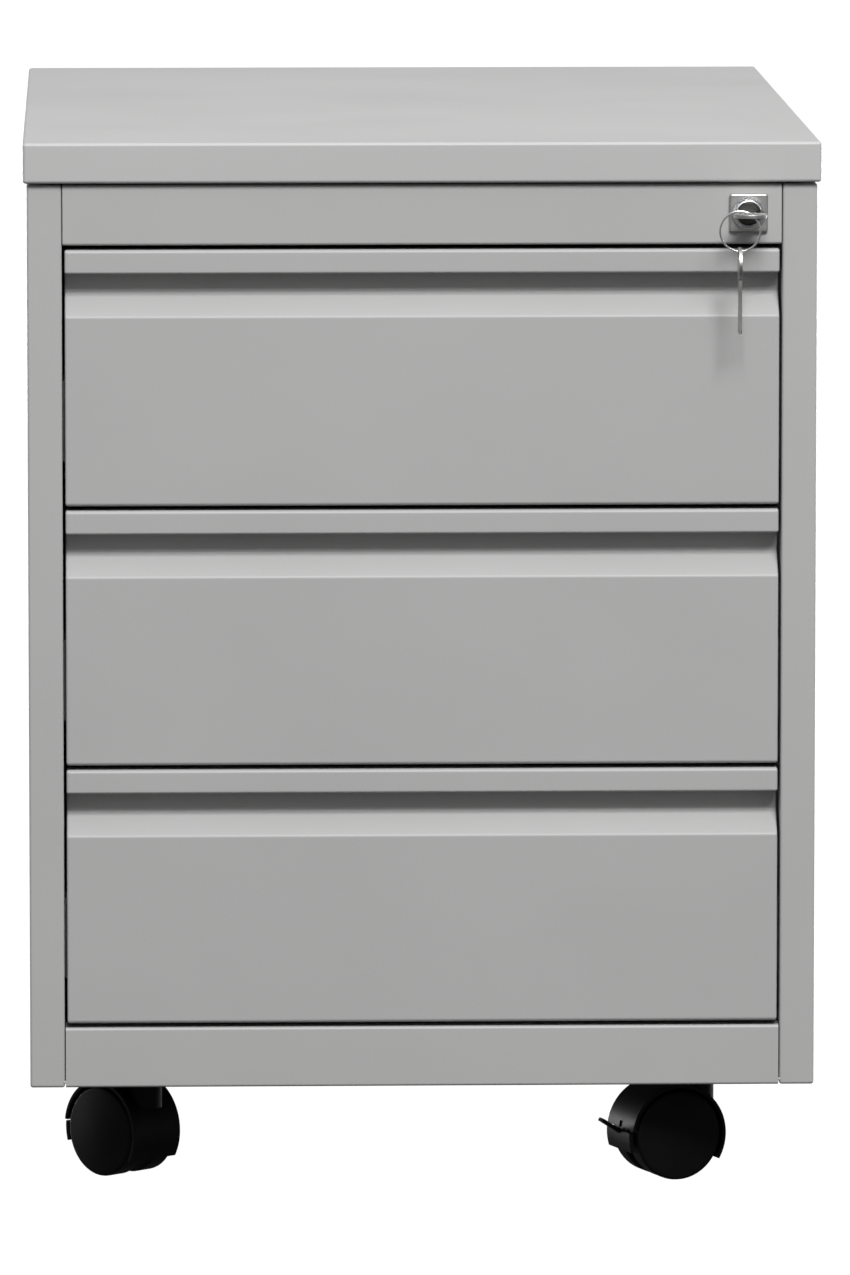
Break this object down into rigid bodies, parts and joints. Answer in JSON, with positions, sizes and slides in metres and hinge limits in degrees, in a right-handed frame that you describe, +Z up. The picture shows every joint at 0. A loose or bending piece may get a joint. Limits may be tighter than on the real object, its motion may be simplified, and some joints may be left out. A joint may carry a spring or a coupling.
{
  "type": "mobile filing cabinet",
  "caption": "Light grey steel pedestal filing cabinet with full-width finger-pull drawers on telescopic slides, a central lock with keys, and black twin-wheel casters.",
  "frame": {"origin": "on the floor, under the middle of the box of the whole object, hanging keys included", "axes": "+Z up, the drawers open towards -Y, +X to the right seen from the front"},
  "size_m": [0.434, 0.6182, 0.579],
  "materials": {
    "cover_paint": "satin light grey powder coat",
    "body_paint": "satin light grey powder coat",
    "front_paint": "satin light grey powder coat",
    "inner_paint": "satin grey powder coat",
    "zinc_steel": "zinc-plated sheet steel",
    "chrome": "polished nickel-chrome",
    "nylon": "natural nylon",
    "caster_plastic": "moulded black nylon",
    "caster_wheel": "moulded black nylon"
  },
  "bodies": {
    "cabinet": {"top_cover": "cover_paint", "top_stiffeners": "inner_paint", "cover_screws": "zinc_steel", "inner_top": "inner_paint", "side_panel_left": "body_paint", "side_panel_right": "body_paint", "back_panel": "body_paint", "base_pan": "body_paint", "top_rail": "body_paint", "bottom_rail": "body_paint", "caster_channels": "zinc_steel", "caster_sockets": "zinc_steel", "slide_posts": "zinc_steel", "slide_outer_left": "zinc_steel", "slide_outer_right": "zinc_steel", "lock_housing": "chrome", "lock_nut": "zinc_steel", "lock_bar_guides": "nylon"},
    "lock": {"lock_cylinder": "chrome", "lock_cam": "zinc_steel"},
    "lock_bar": {"lock_bar": "zinc_steel"},
    "key": {"key": "chrome"},
    "key_ring": {"key_ring": "chrome"},
    "spare_key": {"spare_key": "chrome"},
    "drawer_1": {"drawer_1_tray": "inner_paint", "drawer_1_front": "front_paint", "drawer_1_liner": "inner_paint", "drawer_1_slides": "zinc_steel"},
    "slide_mid_left_1": {"slide_mid_left_1": "zinc_steel"},
    "slide_mid_right_1": {"slide_mid_right_1": "zinc_steel"},
    "drawer_2": {"drawer_2_tray": "inner_paint", "drawer_2_front": "front_paint", "drawer_2_liner": "inner_paint", "drawer_2_slides": "zinc_steel"},
    "slide_mid_left_2": {"slide_mid_left_2": "zinc_steel"},
    "slide_mid_right_2": {"slide_mid_right_2": "zinc_steel"},
    "drawer_3": {"drawer_3_tray": "inner_paint", "drawer_3_front": "front_paint", "drawer_3_liner": "inner_paint", "drawer_3_slides": "zinc_steel"},
    "slide_mid_left_3": {"slide_mid_left_3": "zinc_steel"},
    "slide_mid_right_3": {"slide_mid_right_3": "zinc_steel"},
    "caster_fl": {"caster_fl_hood": "caster_plastic", "caster_fl_pins": "zinc_steel"},
    "caster_fl_wheel_a": {"caster_fl_wheel_a": "caster_wheel"},
    "caster_fl_wheel_b": {"caster_fl_wheel_b": "caster_wheel"},
    "caster_fl_lever": {"caster_fl_lever": "caster_plastic"},
    "caster_fr": {"caster_fr_hood": "caster_plastic", "caster_fr_pins": "zinc_steel"},
    "caster_fr_wheel_a": {"caster_fr_wheel_a": "caster_wheel"},
    "caster_fr_wheel_b": {"caster_fr_wheel_b": "caster_wheel"},
    "caster_fr_lever": {"caster_fr_lever": "caster_plastic"},
    "caster_rl": {"caster_rl_hood": "caster_plastic", "caster_rl_pins": "zinc_steel"},
    "caster_rl_wheel_a": {"caster_rl_wheel_a": "caster_wheel"},
    "caster_rl_wheel_b": {"caster_rl_wheel_b": "caster_wheel"},
    "caster_rr": {"caster_rr_hood": "caster_plastic", "caster_rr_pins": "zinc_steel"},
    "caster_rr_wheel_a": {"caster_rr_wheel_a": "caster_wheel"},
    "caster_rr_wheel_b": {"caster_rr_wheel_b": "caster_wheel"}
  },
  "joints": [
    {"name": "lock_bar_lift", "type": "slide", "parent": "cabinet", "child": "lock_bar", "axis": [0, 0, 1], "range_m": [0, 0.01414]},
    {"name": "lock_turn", "type": "hinge", "parent": "cabinet", "child": "lock", "pos_m": [0.1774, -0.2769, 0.54], "axis": [0, -1, 0], "range_deg": [0, 90]},
    {"name": "key_pull", "type": "slide", "parent": "lock", "child": "key", "axis": [0, -1, 0], "range_m": [0, 0.024]},
    {"name": "key_ring_turn", "type": "hinge", "parent": "key", "child": "key_ring", "pos_m": [0.1774, -0.2999, 0.54], "axis": [0, -1, 0], "range_deg": [-90, 0]},
    {"name": "spare_key_swing", "type": "hinge", "parent": "key_ring", "child": "spare_key", "pos_m": [0.17155, -0.2999, 0.52105], "axis": [1, 0, 0], "range_deg": [-70, 12]},
    {"name": "drawer_1_slide", "type": "slide", "parent": "cabinet", "child": "drawer_1", "axis": [0, -1, 0], "range_m": [0, 0.54]},
    {"name": "slide_mid_left_1_slide", "type": "slide", "parent": "cabinet", "child": "slide_mid_left_1", "axis": [0, -1, 0], "range_m": [0, 0.27]},
    {"name": "slide_mid_right_1_slide", "type": "slide", "parent": "cabinet", "child": "slide_mid_right_1", "axis": [0, -1, 0], "range_m": [0, 0.27]},
    {"name": "drawer_2_slide", "type": "slide", "parent": "cabinet", "child": "drawer_2", "axis": [0, -1, 0], "range_m": [0, 0.54]},
    {"name": "slide_mid_left_2_slide", "type": "slide", "parent": "cabinet", "child": "slide_mid_left_2", "axis": [0, -1, 0], "range_m": [0, 0.27]},
    {"name": "slide_mid_right_2_slide", "type": "slide", "parent": "cabinet", "child": "slide_mid_right_2", "axis": [0, -1, 0], "range_m": [0, 0.27]},
    {"name": "drawer_3_slide", "type": "slide", "parent": "cabinet", "child": "drawer_3", "axis": [0, -1, 0], "range_m": [0, 0.54]},
    {"name": "slide_mid_left_3_slide", "type": "slide", "parent": "cabinet", "child": "slide_mid_left_3", "axis": [0, -1, 0], "range_m": [0, 0.27]},
    {"name": "slide_mid_right_3_slide", "type": "slide", "parent": "cabinet", "child": "slide_mid_right_3", "axis": [0, -1, 0], "range_m": [0, 0.27]},
    {"name": "caster_fl_swivel", "type": "hinge", "parent": "cabinet", "child": "caster_fl", "pos_m": [-0.153, -0.2149, 0.06], "axis": [0, 0, 1], "continuous": true},
    {"name": "caster_fl_wheel_a_spin", "type": "hinge", "parent": "caster_fl", "child": "caster_fl_wheel_a", "pos_m": [-0.16459, -0.20247, 0.025], "axis": [-0.7314, -0.682, 0], "continuous": true},
    {"name": "caster_fl_wheel_b_spin", "type": "hinge", "parent": "caster_fl", "child": "caster_fl_wheel_b", "pos_m": [-0.16459, -0.20247, 0.025], "axis": [-0.7314, -0.682, 0], "continuous": true},
    {"name": "caster_fl_lever_tilt", "type": "hinge", "parent": "caster_fl", "child": "caster_fl_lever", "pos_m": [-0.17836, -0.1877, 0.02856], "axis": [-0.7314, -0.682, 0], "range_deg": [0, 7]},
    {"name": "caster_fr_swivel", "type": "hinge", "parent": "cabinet", "child": "caster_fr", "pos_m": [0.153, -0.2149, 0.06], "axis": [0, 0, 1], "continuous": true},
    {"name": "caster_fr_wheel_a_spin", "type": "hinge", "parent": "caster_fr", "child": "caster_fr_wheel_a", "pos_m": [0.13713, -0.22099, 0.025], "axis": [0.3584, -0.9336, 0], "continuous": true},
    {"name": "caster_fr_wheel_b_spin", "type": "hinge", "parent": "caster_fr", "child": "caster_fr_wheel_b", "pos_m": [0.13713, -0.22099, 0.025], "axis": [0.3584, -0.9336, 0], "continuous": true},
    {"name": "caster_fr_lever_tilt", "type": "hinge", "parent": "caster_fr", "child": "caster_fr_lever", "pos_m": [0.11828, -0.22823, 0.02856], "axis": [0.3584, -0.9336, 0], "range_deg": [0, 7]},
    {"name": "caster_rl_swivel", "type": "hinge", "parent": "cabinet", "child": "caster_rl", "pos_m": [-0.153, 0.2451, 0.06], "axis": [0, 0, 1], "continuous": true},
    {"name": "caster_rl_wheel_a_spin", "type": "hinge", "parent": "caster_rl", "child": "caster_rl_wheel_a", "pos_m": [-0.16772, 0.2536, 0.025], "axis": [-0.5, -0.866, 0], "continuous": true},
    {"name": "caster_rl_wheel_b_spin", "type": "hinge", "parent": "caster_rl", "child": "caster_rl_wheel_b", "pos_m": [-0.16772, 0.2536, 0.025], "axis": [-0.5, -0.866, 0], "continuous": true},
    {"name": "caster_rr_swivel", "type": "hinge", "parent": "cabinet", "child": "caster_rr", "pos_m": [0.153, 0.2451, 0.06], "axis": [0, 0, 1], "continuous": true},
    {"name": "caster_rr_wheel_a_spin", "type": "hinge", "parent": "caster_rr", "child": "caster_rr_wheel_a", "pos_m": [0.13858, 0.23609, 0.025], "axis": [0.5299, -0.848, 0], "continuous": true},
    {"name": "caster_rr_wheel_b_spin", "type": "hinge", "parent": "caster_rr", "child": "caster_rr_wheel_b", "pos_m": [0.13858, 0.23609, 0.025], "axis": [0.5299, -0.848, 0], "continuous": true}
  ],
  "couplings": [
    {"joint": "lock_turn", "follows": "lock_bar_lift", "rad_per_m": 111.07},
    {"joint": "key_ring_turn", "follows": "lock_bar_lift", "rad_per_m": -111.07},
    {"joint": "slide_mid_left_1_slide", "follows": "drawer_1_slide", "ratio": 0.5},
    {"joint": "slide_mid_right_1_slide", "follows": "drawer_1_slide", "ratio": 0.5},
    {"joint": "slide_mid_left_2_slide", "follows": "drawer_2_slide", "ratio": 0.5},
    {"joint": "slide_mid_right_2_slide", "follows": "drawer_2_slide", "ratio": 0.5},
    {"joint": "slide_mid_left_3_slide", "follows": "drawer_3_slide", "ratio": 0.5},
    {"joint": "slide_mid_right_3_slide", "follows": "drawer_3_slide", "ratio": 0.5}
  ]
}
